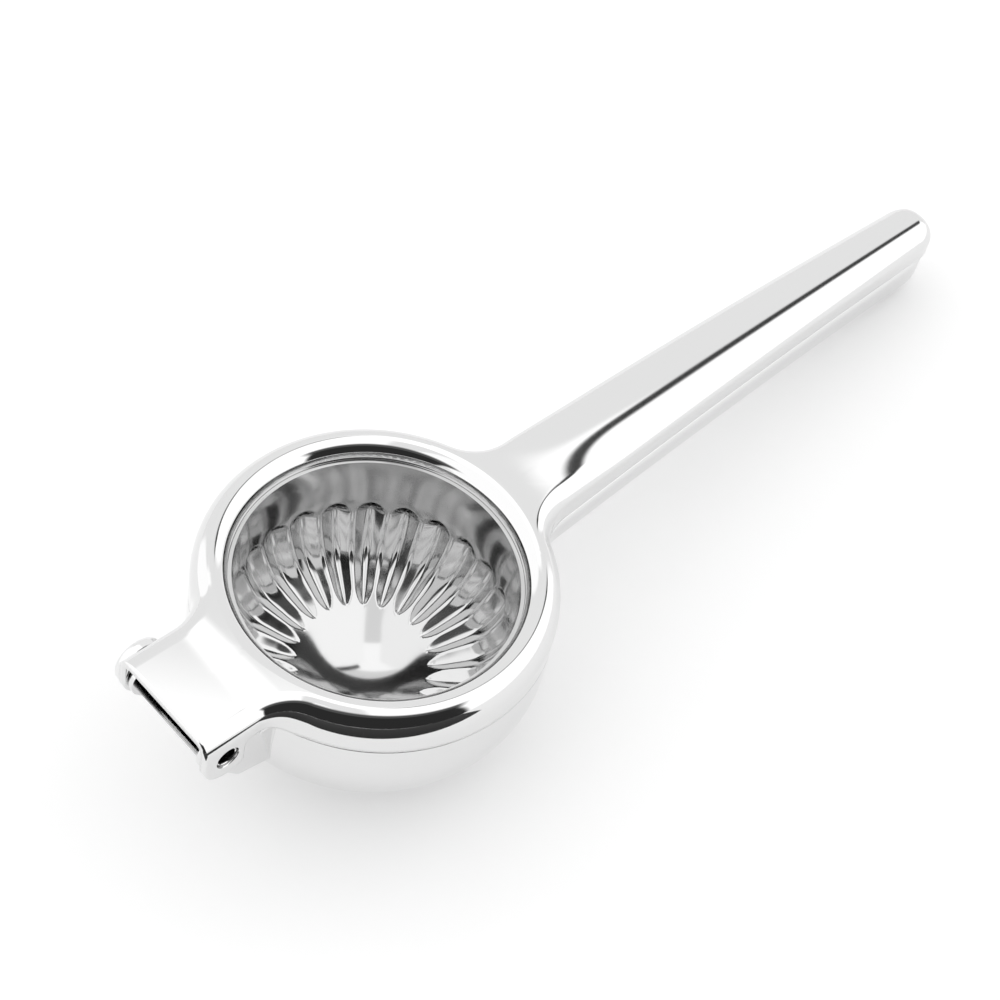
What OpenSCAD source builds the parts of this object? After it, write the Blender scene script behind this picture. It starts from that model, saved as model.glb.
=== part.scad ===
// Hinged lemon squeezer in stamped and drawn stainless steel.
// The press arm (ring, hinge plate and handle) carries a fluted cup and swings
// on one hinge pin over the bowl arm, whose bowl has a slotted strainer floor.
// Arm frame: X from the hinge to the handle tip, Z up along the cup's axis,
// z = 0 on the plane where the two closed arms meet. The finished model is then
// laid down as it rests, on the bowl's corner and the tip of the lower handle.

/* [Sheet] */
// Thickness of the stamped arms
sheet_t = 1.7; // [1.2:0.1:2.0]
// Thickness of the drawn cup
cup_t = 0.8; // [0.6:0.1:1.2]
// Thickness of the plates that close the handles
cover_t = 1.2; // [0.8:0.1:1.6]

/* [Ring] */
// Radial width of the ring, from the cup's seat to its outer wall
ring_w = 7.7; // [7:0.1:10]
// Height of the ring's crest above the parting plane
crest_h = 10.15; // [10:0.05:13]
// Height of the ring's straight skirt
skirt_h = 4.15; // [3:0.05:6]
// Where the crest lies across the ring's width, from the inside
crest_share = 0.48; // [0.4:0.01:0.6]
// Drop from the crest to the lip that holds the cup
lip_drop = 3.6; // [3:0.1:5]
// Length of the straight land inside the lip
land_h = 2.2; // [1.5:0.1:3]

/* [Cup] */
// Inner radius of the cup at its rim
cup_r = 29.95; // [28:0.05:34]
// Inner depth of the cup below the lip
cup_depth = 34.5; // [30:0.5:36]
// How far the cup's rim sits below the lip
rim_drop = 0.4; // [0.2:0.1:1]
// Number of flutes round the cup
flute_count = 24; // [16:1:30]
// Depth of a flute where it is widest
flute_depth = 2.3; // [1.0:0.1:3]
// Share of the pitch that a flute takes
flute_share = 0.87; // [0.6:0.01:0.92]
// Depth below the lip at which the flutes start
flute_top = 12.4; // [9:0.1:16]
// Radius at which the flutes end on the cup's floor
flute_end_r = 15; // [10:0.5:20]

/* [Bowl] */
// Gap between the floor of the cup and the floor of the bowl
floor_gap = 1.5; // [1.2:0.1:4]
// Radius of the bowl's rounded corner
bowl_corner_r = 23; // [20:0.2:29]
// Width of a strainer slot
slot_w = 2.6; // [2:0.1:3.4]
// Slots in the outer ring of the strainer
outer_slots = 12; // [8:1:16]
// Slots in the inner ring of the strainer
inner_slots = 6; // [4:1:8]
// Radius at which the outer slots start
outer_slot_r = 12.5; // [11.5:0.1:14]
// Length of an outer slot
outer_slot_len = 11; // [7:0.5:14]
// Radius at which the inner slots start
inner_slot_r = 4.6; // [4.2:0.1:5.2]
// Length of an inner slot
inner_slot_len = 5; // [3.5:0.1:5.5]

/* [Handle] */
// Distance from the ring's axis to the handle's tip
tip_x = 168.5; // [150:0.5:185]
// Width of the handle where it leaves the ring
root_w = 20.2; // [18:0.1:24]
// Width of the handle at its tip
tip_w = 12.4; // [10:0.1:16]
// Height of the parting line where the handle leaves the ring
handle_step = 1.2; // [0.8:0.1:2]
// Height of the parting line at the tip
handle_rise = 8.1; // [4:0.1:12]
// Height of the press handle at its tip
press_tip_h = 7.35; // [7:0.05:11]
// Depth of the bowl handle
bowl_handle_h = 12.6; // [9:0.1:14]
// Radius of the fillet between the ring and the handle, seen from above
root_fillet = 10; // [6:0.5:14]
// Length over which the handle's tip is rounded off
tip_round = 6.5; // [5:0.1:9]
// How much shorter the bowl handle is than the press handle
bowl_tip_back = 1.2; // [0:0.1:3]
// Radius of the rounded upper edge of the bowl handle
edge_r = 2.2; // [1.6:0.1:3]

/* [Hinge] */
// Distance from the ring's axis to the hinge pin
pin_x = 49.6; // [48.5:0.1:54]
// Height of the hinge pin above the parting plane
pin_h = 1.85; // [1.5:0.05:3]
// Radius of the hinge pin
pin_r = 2.45; // [2:0.05:3]
// Width over the two hinge ears
hinge_w = 27.6; // [24:0.2:34]
// Outer radius of the bend between the hinge plate and an ear
bend_r = 3.5; // [2.4:0.1:4]
// Radius of an ear's rounded end
ear_r = 5.8; // [5:0.1:6.6]
// Distance from the pin to the back edge of an ear
ear_back = 4.4; // [3.6:0.1:5]
// Height of the plate's sides above the parting plane, behind the ears
neck_h = 4.2; // [3:0.1:5]
// Radius of a lug's rounded end
lug_r = 5.2; // [4.6:0.1:6]
// Radius of the fillet between an ear and the ring
ear_fillet = 10; // [6:0.5:12]
// Depth of the tongue's heel below the parting plane
heel_depth = 12.8; // [10:0.1:16]
// Radius of the hinge pin's head
head_r = 5.6; // [4.5:0.1:7]
// Height of the hinge pin's head
head_h = 2.6; // [1.5:0.1:3]
// Wall of the hinge pin's hollow tail
tail_wall = 0.35; // [0.3:0.05:0.8]
// Depth of the blind hole in the tail
tail_bore_len = 6; // [4:0.5:10]
// How far the tail ends inside its ear
tail_recess = 0.4; // [0.1:0.1:0.8]

/* [Fits] */
// Gap between the closed arms along the parting line
part_gap = 0.3; // [0.2:0.05:0.5]
// Radial clearance of the hinge pin in its holes
pin_clear = 0.05; // [0.02:0.01:0.1]
// Side clearance between an ear and a lug
lug_clear = 0.15; // [0.1:0.05:0.3]
// Clearance between a fitted piece and its seat
seat_clear = 0.05; // [0.02:0.01:0.1]

/* [Hidden] */
$fn = 60;
// overlap of joined solids, and how far a cut runs past what it cuts
eps = 0.01;
over = 1;

// Ring
seam_r = cup_r + cup_t + seat_clear;
ring_r = seam_r + ring_w;
crest_r = seam_r + crest_share * ring_w;
lip_h = crest_h - lip_drop;

// Bowl
bowl_depth = cup_depth + cup_t + rim_drop - lip_h + floor_gap + sheet_t;
floor_r = ring_r - bowl_corner_r;
corner_h = bowl_corner_r - bowl_depth;

// Handle: exponents of its rise, its tip and its round sections
handle_x = crest_r - 1;
rise_n = 2.2;
tip_n = 2.4;
crown_n = 2.5;
// how much of a handle's height its tip keeps
press_tip_share = 0.55;
bowl_tip_share = 0.6;
// straight walls below the crown at the tip and below the bowl handle's edge
tip_wall_h = 1.2;
edge_wall_h = 1.5;
// how far joined forms lie inside each other, and the webs' reach past the ring and walls
blend = 0.2;
web_rise = 1.5;
web_proud = 0.4;
web_sink = 2;
// turned-in lip beyond the rounded edge
lip_w = 0.4;
// the mouth is cut from two heights, because the handle rises
mouth_x = lerp(ring_r, tip_x, 0.2);
seam_cut = 0.2;
mouth_x_rise = part_z(mouth_x) - part_gap - sheet_t - 2 * seam_cut;
mouth_end = tip_x - bowl_tip_back - sheet_t - edge_r - lip_w;
cover_x = ring_r + part_gap + seat_clear;

// Hinge
ear_y = hinge_w / 2;
lug_y = ear_y - sheet_t - lug_clear;
plate_front = pin_x + ear_r;
heel_r = 3;
heel_back = 6.8;
heel_x = pin_x - heel_back;
heel_slope = 2;
lug_back_x = ring_r + over;
tail_bore_r = pin_r - tail_wall;
notch_r = 1.5;
head_round = 0.6 * head_h;
lug_back_h = neck_h + bend_r / 2;

// Attitude at rest: the floor touches the bowl's corner and the bowl handle's tip
toe_r = bowl_handle_h / 2;
toe_x = tip_x - bowl_tip_back - toe_r;
toe_h = handle_rise - bowl_handle_h + toe_r;
toe_dx = toe_x - floor_r;
toe_dz = toe_h - corner_h;
rest_tilt = atan2(toe_dz, toe_dx)
          + asin((bowl_corner_r - toe_r) / norm([toe_dx, toe_dz]));

function lerp(a, b, t) = a + (b - a) * t;
function clamp01(t) = min(1, max(0, t));

// Points of an arc with half-axes a (radial) and b (height) about c, from one angle to another
function arc(c, a, b, from, to, n = 8) =
    [for (i = [0:n]) let (q = lerp(from, to, i / n)) [c[0] + a * cos(q), c[1] + b * sin(q)]];

// ---- The handle's lines along x ----
// Share of the handle's rise reached at x, along a curve that levels out at the tip
function rise(x) = 1 - pow((tip_x - min(tip_x, max(x, ring_r))) / (tip_x - ring_r), rise_n);
// Height of the parting line
function part_z(x) = lerp(handle_step, handle_rise, rise(x));
// Half width, a straight taper
function half_w(x) = lerp(root_w, tip_w, clamp01((x - handle_x) / (tip_x - handle_x))) / 2;
// Rounding of the tip, 1 on the handle and 0 at its end
function tip_f(x, end_x, len) = pow(1 - pow(clamp01((x - end_x + len) / len), tip_n), 1 / tip_n);
// Places of the sections: one inside the ring, even along the handle, close at the tip
function stations(x0, end_x, len) = concat(
    x0 < ring_r ? [x0] : [],
    [for (i = [0:9]) lerp(max(x0, ring_r), end_x - len, i / 9)],
    [for (q = [18:12:78]) end_x - len + len * pow(sin(q), 2 / tip_n)],
    [end_x - len + len * pow(sin(86), 2 / tip_n)]);

// A solid through a list of sections of equal point count, each at its own x
module loft(xs, sections) {
    n = len(sections[0]);
    m = len(sections);
    points = [for (i = [0:m - 1]) for (p = sections[i]) [xs[i], p[0], p[1]]];
    sides = [for (i = [0:m - 2]) for (j = [0:n - 1])
        let (a = i * n + j, b = i * n + (j + 1) % n)
        each [[a, b + n, b], [a, a + n, b + n]]];
    caps = [[for (j = [0:n - 1]) j], [for (j = [n - 1:-1:0]) (m - 1) * n + j]];
    polyhedron(points, concat(sides, caps), convexity = 6);
}

// Crown of the press handle's section: a straight wall, then a rounded arch
function crown(w, top, base, wall, steps = 12) =
    [for (i = [0:steps]) let (q = 180 * i / steps, c = cos(q), s = sin(q))
        [w * sign(c) * pow(abs(c), 2 / crown_n),
         base + wall + (top - base - wall) * pow(s, 2 / crown_n)]];

// Section of the press handle at x, inset all round by one wall and run down past its open side
function press_section(x, inset, end_x, len, drop) =
    let (f = tip_f(x, end_x, len), w = (half_w(x) - inset) * f, base = part_z(x),
         h = lerp(crest_h - blend - handle_step, press_tip_h, rise(x)),
         top = base + (h - inset) * lerp(press_tip_share, 1, f),
         wall = lerp(skirt_h - handle_step, tip_wall_h, rise(x)))
    concat([[w, base - drop]], crown(w, top, base, wall), [[-w, base - drop]]);

// Half width, edge radius and the heights of top, side and bottom of the bowl handle
function bowl_size(x, inset, end_x, len) =
    let (f = tip_f(x, end_x, len), r = (edge_r - inset) * f, top = part_z(x) - part_gap - inset)
    [(half_w(x) - inset) * f, r, top, top - r - edge_wall_h * f,
     part_z(x) - (bowl_handle_h - inset) * lerp(bowl_tip_share, 1, f)];
// Its rounded belly, and the rounded edge on one side
function bowl_belly(d, steps = 10) =
    [for (i = [0:steps]) let (q = 180 * i / steps, c = -cos(q), s = sin(q))
        [d[0] * sign(c) * pow(abs(c), 2 / crown_n), d[3] - (d[3] - d[4]) * pow(s, 2 / crown_n)]];
function bowl_edge(d, side) = side > 0
    ? arc([d[0] - d[1], d[2] - d[1]], d[1], d[1], 0, 90, 4)
    : arc([d[1] - d[0], d[2] - d[1]], d[1], d[1], 90, 180, 4);
function bowl_section(x, inset, end_x, len) = let (d = bowl_size(x, inset, end_x, len))
    concat(bowl_edge(d, 1), bowl_edge(d, -1), bowl_belly(d));

// Plan of the mouth between the bowl handle's turned-in edges, inset by d
module mouth_plan(x0, end_x, d) {
    root = half_w(x0) - edge_r - lip_w - d;
    tip = half_w(end_x) - edge_r - lip_w - d;
    polygon([[x0, root], [x0, -root], [end_x - tip, -tip], [end_x - tip, tip]]);
    translate([end_x - tip, 0]) circle(tip);
}

// ---- Revolved outlines ----
// The ring's skin, inset by d from its outer face, as a closed outline that ends at height z0
function ring_outline(d, z0) = concat(
    [[ring_r - d, z0]],
    arc([crest_r, skirt_h], ring_r - crest_r - d, crest_h - skirt_h - d, 0, 90),
    arc([crest_r, lip_h], crest_r - seam_r - d, crest_h - lip_h - d, 90, 180),
    [[seam_r + d, z0]]);

// Half outline of the bowl, inset by d, closed at height z1
function bowl_outline(d, z1) = concat(
    [[0, -bowl_depth + d]],
    arc([floor_r, corner_h], bowl_corner_r - d, bowl_corner_r - d, -90, 0, 10),
    [[ring_r - d, z1], [0, z1]]);

// ---- Hinge outlines ----
// Channel of the hinge plate and its ears, seen along X, inset by d
module channel(d, z0) {
    r = bend_r - d;
    w = ear_y - d;
    top = crest_h - blend - d;
    translate([-w, z0]) square([2 * w, top - r - z0]);
    translate([-w + r, z0]) square([2 * (w - r), top - z0]);
    for (s = [-1, 1]) translate([s * (w - r), top - r]) circle(r);
}

// Puts a drawing made in the XZ plane upright and gives it a width along Y
module across(w) translate([0, w / 2, 0]) rotate([90, 0, 0]) linear_extrude(w) children();
// Puts a drawing made in the YZ plane upright and gives it a length along X
module lengthwise(x0, x1) translate([x0, 0, 0]) rotate([90, 0, 90]) linear_extrude(x1 - x0) children();

// Side view of an ear: a lobe about the pin, with a notch between it and the ring
module ear_side() difference() {
    union() {
        translate([-pin_x, pin_h]) circle(ear_r);
        translate([-plate_front, pin_h]) square([plate_front - crest_r, crest_h + over - pin_h]);
    }
    // the notch behind the lobe, with one rounded corner
    translate([-pin_x + ear_back, neck_h]) {
        translate([notch_r, -notch_r]) circle(notch_r);
        translate([notch_r, -crest_h - ear_r]) square([pin_x, crest_h + ear_r]);
        translate([0, -crest_h - ear_r]) square([pin_x, crest_h + ear_r - notch_r]);
    }
}

// Side view of the tongue, inset by d: round about the pin, sloping down to the heel
module tongue_side(d) {
    r1 = lug_r - d;
    r2 = heel_r - d;
    p1 = [-pin_x, pin_h];
    p2 = [-heel_x, -heel_depth + heel_r];
    q = atan2(p2[1] - p1[1], p2[0] - p1[0]) - 90 + asin((r1 - r2) / norm(p2 - p1));
    n = [cos(q), sin(q)];
    translate(p1) circle(r1);
    translate(p2) circle(r2);
    polygon([p1 + r1 * n, p2 + r2 * n, p2 - [0, r2], [-crest_r, -heel_depth - heel_slope + d],
             [-crest_r, -part_gap - d], [-lug_back_x, -part_gap - d], [-lug_back_x, lug_back_h - d],
             [-pin_x, lug_back_h - d], p1]);
}

module hinge_axis() translate([-pin_x, 0, pin_h]) rotate([-90, 0, 0]) children();

// ---- Attitude ----
// The arm frame laid down as the tool rests, with the bowl's floor centre as origin
module at_rest() rotate([0, rest_tilt, 0]) translate([0, 0, bowl_depth]) children();

// ---- Pieces ----
module press_arm() color("gainsboro") at_rest() difference() {
    union() {
        ring_skin();
        difference() {
            union() {
                press_handle();
                hinge_channel();
                root_webs(neck_h, crest_h - blend - bend_r, ear_y, ear_fillet, 180);
                root_webs(handle_step, skirt_h + web_rise, root_w / 2 - blend, root_fillet, 0);
            }
            ring_core(sheet_t / 2);
        }
    }
    hinge_axis() cylinder(r = pin_r + pin_clear, h = 2 * hinge_w, center = true);
}

// The ring: one bent skin, with a skirt outside and a land for the cup inside
module ring_skin() difference() {
    rotate_extrude() polygon(ring_outline(0, 0));
    ring_core(sheet_t);
    translate([0, 0, -over]) cylinder(r = seam_r, h = crest_h + 2 * over);
    translate([0, 0, -over]) cylinder(r = seam_r + sheet_t + eps, h = lip_h - land_h + over);
}
// Everything that lies inside the ring's skin, inset by d
module ring_core(d) rotate_extrude() polygon(ring_outline(d, -over));

// Handle channel, open below and towards the ring
module press_handle() difference() {
    xs = stations(handle_x, tip_x, tip_round);
    loft(xs, [for (x = xs) press_section(x, 0, tip_x, tip_round, 0)]);
    end_x = tip_x - sheet_t;
    len = tip_round - sheet_t;
    hollow = stations(handle_x - over, end_x, len);
    loft(hollow, [for (x = hollow) press_section(x, sheet_t, end_x, len, over)]);
}

// Hinge plate with an ear bent down on each side
module hinge_channel() difference() {
    intersection() {
        lengthwise(-plate_front, -crest_r + over) channel(0, -ear_r);
        across(2 * hinge_w) ear_side();
    }
    lengthwise(-plate_front - over, -crest_r + 2 * over) channel(sheet_t, -ear_r - over);
}

// Webs from height z0 to z1 that fill the corners between the ring and two walls at y = +w and -w
module root_webs(z0, z1, w, r, turn) rotate(turn) for (s = [-1, 1]) {
    cy = w + r - blend;
    cx = sqrt(pow(ring_r + r - blend, 2) - pow(cy, 2));
    share = ring_r / (ring_r + r);
    translate([0, 0, z0]) linear_extrude(z1 - z0) difference() {
        polygon([[cx, s * (w - sheet_t / 2)], [cx, s * (w + web_proud)],
                 [cx * share + web_proud, s * cy * share],
                 [cx * share - web_sink, s * (cy * share - web_sink)], [crest_r, s * (w - sheet_t / 2)]]);
        translate([cx, s * cy]) circle(r);
    }
}

module press_cup() color("silver") at_rest() translate([0, 0, lip_h]) cup_solid();

// The cup's meridian: radius and depth at angle q, and the flutes pressed into it
function cup_pt(q, d) = [(cup_r + d) * cos(q), -(cup_depth + d) * pow(sin(q), 2 / 3)];
flute_q0 = asin(pow(flute_top / cup_depth, 1.5));
flute_q1 = acos(flute_end_r / cup_r);
flute_lead = 9;
flute_mid = 0.45;
// How full a flute is at angle q along the wall: 0 outside, 1 between its rounded ends
function flute_span(q) =
    let (a = clamp01((q - flute_q0) / flute_lead), b = clamp01((flute_q1 - q) / flute_lead))
    sqrt(max(0, 1 - pow(1 - a, 2))) * sqrt(max(0, 1 - pow(1 - b, 2)));
// Outward push at share u of the half pitch, u = 0 on a flute's crease
function flute_push(q, u) =
    let (g = flute_span(q), half = flute_share * g)
    g <= 0 ? 0 : flute_depth * g * cos(q) * max(0, 1 - abs(u) / half);

module cup_solid() {
    per = 4;
    n = flute_count * per;
    // rows of the meridian: on the wall, along the flutes, and over the floor
    qs = concat([0, 7, flute_q0 - 1], [for (i = [0:6]) lerp(flute_q0 + 3, flute_q1 - 1, i / 6)],
                [flute_q1 + 3, 80]);
    function push(q, j) = flute_push(q, [1, flute_mid, 0, flute_mid][j % per]);
    function row(q, d) = let (p = cup_pt(q, d))
        [for (j = [0:n - 1]) let (a = 360 * j / n, w = push(q, j))
            [(p[0] + w * cos(q)) * cos(a), (p[0] + w * cos(q)) * sin(a), p[1] - w * sin(q)]];
    inner = [for (i = [len(qs) - 1:-1:0]) row(qs[i], 0)];
    outer = [for (q = qs) row(q, cup_t)];
    rows = concat(inner, outer);
    m = len(rows);
    points = concat([for (r = rows) each r], [[0, 0, -cup_depth], [0, 0, -cup_depth - cup_t]]);
    sides = [for (i = [0:m - 2]) for (j = [0:n - 1])
        let (a = i * n + j, b = i * n + (j + 1) % n) each [[a, b + n, b], [a, a + n, b + n]]];
    ends = [for (j = [0:n - 1]) each [[m * n, j, (j + 1) % n],
        [m * n + 1, (m - 1) * n + (j + 1) % n, (m - 1) * n + j]]];
    translate([0, 0, -rim_drop]) polyhedron(points, concat(sides, ends), convexity = 8);
}

// Plate that closes the press handle from below, between its walls
module press_handle_cover() color("lightgray") at_rest() {
    inset = sheet_t + seat_clear;
    end_x = tip_x - inset;
    round_x = tip_round - inset;
    xs = stations(cover_x, end_x, round_x);
    loft(xs, [for (x = xs) let (w = (half_w(x) - inset) * tip_f(x, end_x, round_x), z = part_z(x))
        [[w, z], [w, z + cover_t], [-w, z + cover_t], [-w, z]]]);
}

module bowl_arm() color("gainsboro") at_rest() difference() {
    union() {
        difference() {
            rotate_extrude() polygon(bowl_outline(0, -part_gap));
            rotate_extrude() polygon(bowl_outline(sheet_t, over));
            strainer_slots();
        }
        difference() {
            bowl_handle();
            translate([0, 0, -bowl_depth]) cylinder(r = ring_r - sheet_t / 2, h = bowl_depth + crest_h);
            translate([0, 0, -part_gap + eps]) cylinder(r = ring_r + part_gap, h = crest_h);
        }
        difference() {
            tongue();
            translate([0, 0, -bowl_depth]) cylinder(r = ring_r - sheet_t, h = bowl_depth + crest_h);
        }
    }
    hinge_axis() cylinder(r = pin_r + pin_clear, h = 2 * hinge_w, center = true);
}

// Handle channel of the bowl arm, with its upper edges turned in round a mouth
module bowl_handle() difference() {
    end_x = tip_x - bowl_tip_back;
    xs = stations(handle_x, end_x, tip_round);
    loft(xs, [for (x = xs) bowl_section(x, 0, end_x, tip_round)]);
    in_x = end_x - sheet_t;
    len = tip_round - sheet_t;
    hollow = stations(handle_x - over, in_x, len);
    loft(hollow, [for (x = hollow) bowl_section(x, sheet_t, in_x, len)]);
    translate([0, 0, mouth_x_rise]) linear_extrude(2 * handle_rise)
        mouth_plan(handle_x - over, mouth_end, 0);
    translate([0, 0, handle_step - part_gap - sheet_t - seam_cut]) linear_extrude(2 * handle_rise)
        intersection() {
            mouth_plan(handle_x - over, mouth_end, 0);
            translate([0, -root_w]) square([mouth_x, 2 * root_w]);
        }
}

// Two lugs with a heel between them, standing out from the bowl towards the pin
module tongue() difference() {
    across(2 * lug_y) tongue_side(0);
    across(2 * (lug_y - sheet_t)) union() {
        tongue_side(sheet_t);
        polygon([[-plate_front, pin_h - lug_r], [-plate_front, crest_h], [-ring_r, crest_h],
                 [-ring_r, -heel_depth / 2], [-pin_x, pin_h - lug_r]]);
    }
}

// Plate that closes the bowl handle from above, between its turned-in edges
module bowl_handle_cover() color("lightgray") at_rest() intersection() {
    translate([0, 0, -handle_rise]) linear_extrude(3 * handle_rise)
        mouth_plan(cover_x, mouth_end - seat_clear, seat_clear);
    xs = stations(cover_x - over, mouth_end + over, over);
    loft(xs, [for (x = xs) let (z = part_z(x) - part_gap)
        [[root_w, z - cover_t], [root_w, z], [-root_w, z], [-root_w, z - cover_t]]]);
}

// Radial drain slots through the bowl's floor
module strainer_slots() translate([0, 0, -bowl_depth - over]) linear_extrude(bowl_depth / 2) {
    slot_ring(outer_slots, outer_slot_r, outer_slot_len);
    slot_ring(inner_slots, inner_slot_r, inner_slot_len);
}
module slot_ring(count, r0, length) for (i = [0:count - 1]) rotate(360 * (i + 0.5) / count) {
    translate([r0, -slot_w / 2]) square([length, slot_w]);
    for (r = [r0, r0 + length]) translate([r, 0]) circle(slot_w / 2, $fn = 32);
}

// Shank from ear to ear, a head on the far ear and a hollow tail in the near one
module hinge_pin() color("silver") at_rest() hinge_axis() difference() {
    union() {
        translate([0, 0, tail_recess - ear_y]) cylinder(r = pin_r, h = 2 * ear_y - tail_recess);
        translate([0, 0, ear_y + seat_clear]) pin_head();
        translate([0, 0, ear_y - eps]) cylinder(r = pin_r, h = seat_clear + 2 * eps);
    }
    translate([0, 0, -ear_y]) cylinder(r = tail_bore_r, h = tail_recess + tail_bore_len);
}
// Low head with a rounded rim
module pin_head() rotate_extrude() polygon(concat(
    [[0, 0], [head_r, 0]], arc([head_r - head_round, head_h - head_round], head_round, head_round, 0, 90, 6),
    [[0, head_h]]));

press_arm();
press_cup();
press_handle_cover();
bowl_arm();
bowl_handle_cover();
hinge_pin();
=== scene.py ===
# %% [markdown]
# Hinged lemon squeezer in polished stainless steel, lying closed on a white table.
# Half a lemon goes into the bowl, the press cup comes down on it, and the juice runs
# out through slots in the bowl's floor. Each arm is one pressed sheet, so the tool is
# all smooth skins: they could be sculpted or modelled face by face, but a formula
# keeps them smooth enough for mirror steel, where every dent shows in the reflection.
# Every piece is worked out from a few dimensions in millimetres, in the arm frame:
# X from the hinge to the handle tip, Z up along the cup's axis, and z = 0 on the
# plane where the closed arms meet. One lift and one turn lay the tool down at rest.

# %% Setup
import math

import bmesh
import bpy
import numpy as np
from mathutils import Matrix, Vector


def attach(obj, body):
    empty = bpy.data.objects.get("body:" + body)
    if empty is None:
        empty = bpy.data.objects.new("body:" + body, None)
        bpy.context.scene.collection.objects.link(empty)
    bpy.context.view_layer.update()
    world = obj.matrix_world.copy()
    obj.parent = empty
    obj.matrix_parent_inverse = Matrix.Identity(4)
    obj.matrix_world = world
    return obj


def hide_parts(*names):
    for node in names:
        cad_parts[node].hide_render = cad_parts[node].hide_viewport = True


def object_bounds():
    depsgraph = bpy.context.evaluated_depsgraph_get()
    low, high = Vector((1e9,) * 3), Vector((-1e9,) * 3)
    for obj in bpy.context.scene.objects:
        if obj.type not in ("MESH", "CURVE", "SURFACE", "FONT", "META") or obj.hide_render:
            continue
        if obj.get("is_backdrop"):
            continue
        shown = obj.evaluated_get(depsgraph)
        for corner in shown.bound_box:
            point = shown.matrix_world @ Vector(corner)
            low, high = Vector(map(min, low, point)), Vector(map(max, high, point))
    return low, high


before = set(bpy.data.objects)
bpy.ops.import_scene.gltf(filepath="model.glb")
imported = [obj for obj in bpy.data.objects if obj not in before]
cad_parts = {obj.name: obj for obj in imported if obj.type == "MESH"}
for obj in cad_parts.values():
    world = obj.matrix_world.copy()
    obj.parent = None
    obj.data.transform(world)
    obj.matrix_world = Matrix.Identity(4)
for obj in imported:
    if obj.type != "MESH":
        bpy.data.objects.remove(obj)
low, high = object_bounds()
print("frame", np.round(low, 4), np.round(high, 4))

# %% [markdown]
# The camera comes first, because the tool is judged from here. It stands in front of
# the hinge, about half a metre away, and looks down steeply, so that the handles run
# away to the upper right. It could be aimed with a Track To constraint; four numbers
# and one matrix are plainer, and they stay the same when a piece moves. The Standard
# view shows a white of 1 as white.

# %% Camera
CAMERA_PLACE = (-0.14135, -0.20613, 0.50193)
CAMERA_AZIMUTH = -131.498
CAMERA_ELEVATION = 59.693
CAMERA_ROLL = -0.022
CAMERA_LENS = 92.38


def camera_matrix(place, azimuth, elevation, roll):
    """Looks along (-cos a cos e, -sin a cos e, -sin e), then rolls about that line."""
    a, e, r = (math.radians(v) for v in (azimuth, elevation, roll))
    ahead = np.array([-math.cos(a) * math.cos(e), -math.sin(a) * math.cos(e), -math.sin(e)])
    right = np.cross(ahead, [0, 0, 1])
    right /= np.linalg.norm(right)
    up = np.cross(right, ahead)
    right, up = (math.cos(r) * right - math.sin(r) * up,
                 math.cos(r) * up + math.sin(r) * right)
    m = Matrix.Identity(4)
    for row in range(3):
        m[row][0], m[row][1], m[row][2], m[row][3] = right[row], up[row], -ahead[row], place[row]
    return m


camera = bpy.data.objects.new("camera", bpy.data.cameras.new("camera"))
bpy.context.scene.collection.objects.link(camera)
camera.data.lens = CAMERA_LENS
camera.data.sensor_width = 36
camera.data.clip_start = 0.01
camera.matrix_world = camera_matrix(CAMERA_PLACE, CAMERA_AZIMUTH, CAMERA_ELEVATION, CAMERA_ROLL)
bpy.context.scene.camera = camera
bpy.context.scene.view_settings.view_transform = "Standard"
print("camera at", CAMERA_PLACE, "lens", CAMERA_LENS)

# %% [markdown]
# The driving dimensions, in millimetres, are what a maker would measure with calipers:
# the sheet, the ring, the cup, the bowl, the handles and the hinge. They stand in one
# place, so that a change is made once, and the derived ones follow from them.

# %% Dimensions
SHEET = 1.7
CUP_SHEET = 0.8

RING_R = 38.5
CREST_R = 34.4
CREST_H = 10.15
SKIRT_H = 4.15
LIP_R = 30.8
LIP_H = 6.55
LAND = 2.2

CUP_R = 29.95
CUP_DEPTH = 35.0
RIM_DROP = 0.4
FLUTES = 24
FLUTE_PHASE = 4.21
FLUTE_DEPTH = 2.3
FLUTE_SHARE = 0.88
FLUTE_TOP = 13.2
FLUTE_FOOT_R = 14.5
WALL_POWER = 0.6
FLUTE_Q0 = math.asin((FLUTE_TOP / CUP_DEPTH) ** (1 / WALL_POWER))
FLUTE_Q1 = math.acos(FLUTE_FOOT_R / CUP_R)
FLUTE_HEAD = math.radians(5.2)
FLUTE_FOOT = math.radians(9)

BOWL_DEPTH = 32.35
CORNER_R = 23.0
PART_GAP = 0.3
SLOT_W = 2.6
SLOT_RINGS = ((12, 12.5, 11.0), (6, 4.6, 5.0))

TIP_X = 168.5
BOWL_TIP_X = 167.3
ROOT_X = 45.0
ROOT_W = 10.1
TIP_W = 6.2
TIP_LEN = 6.5
TIP_POWER = 2.4
ROOT_FILLET = 11.0
PART_STEP = 1.6
PART_TIP = 8.1
TIP_TOP = 15.45
RISE_POWER = 2.2
SHOULDER_ROOT = 5.1
SHOULDER_TIP = 3.0
CROWN = 1.2
HANDLE_BEND = 3.4
BOWL_HANDLE_H = 12.6
EDGE_R = 2.2
LIP_W = 0.4

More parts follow.
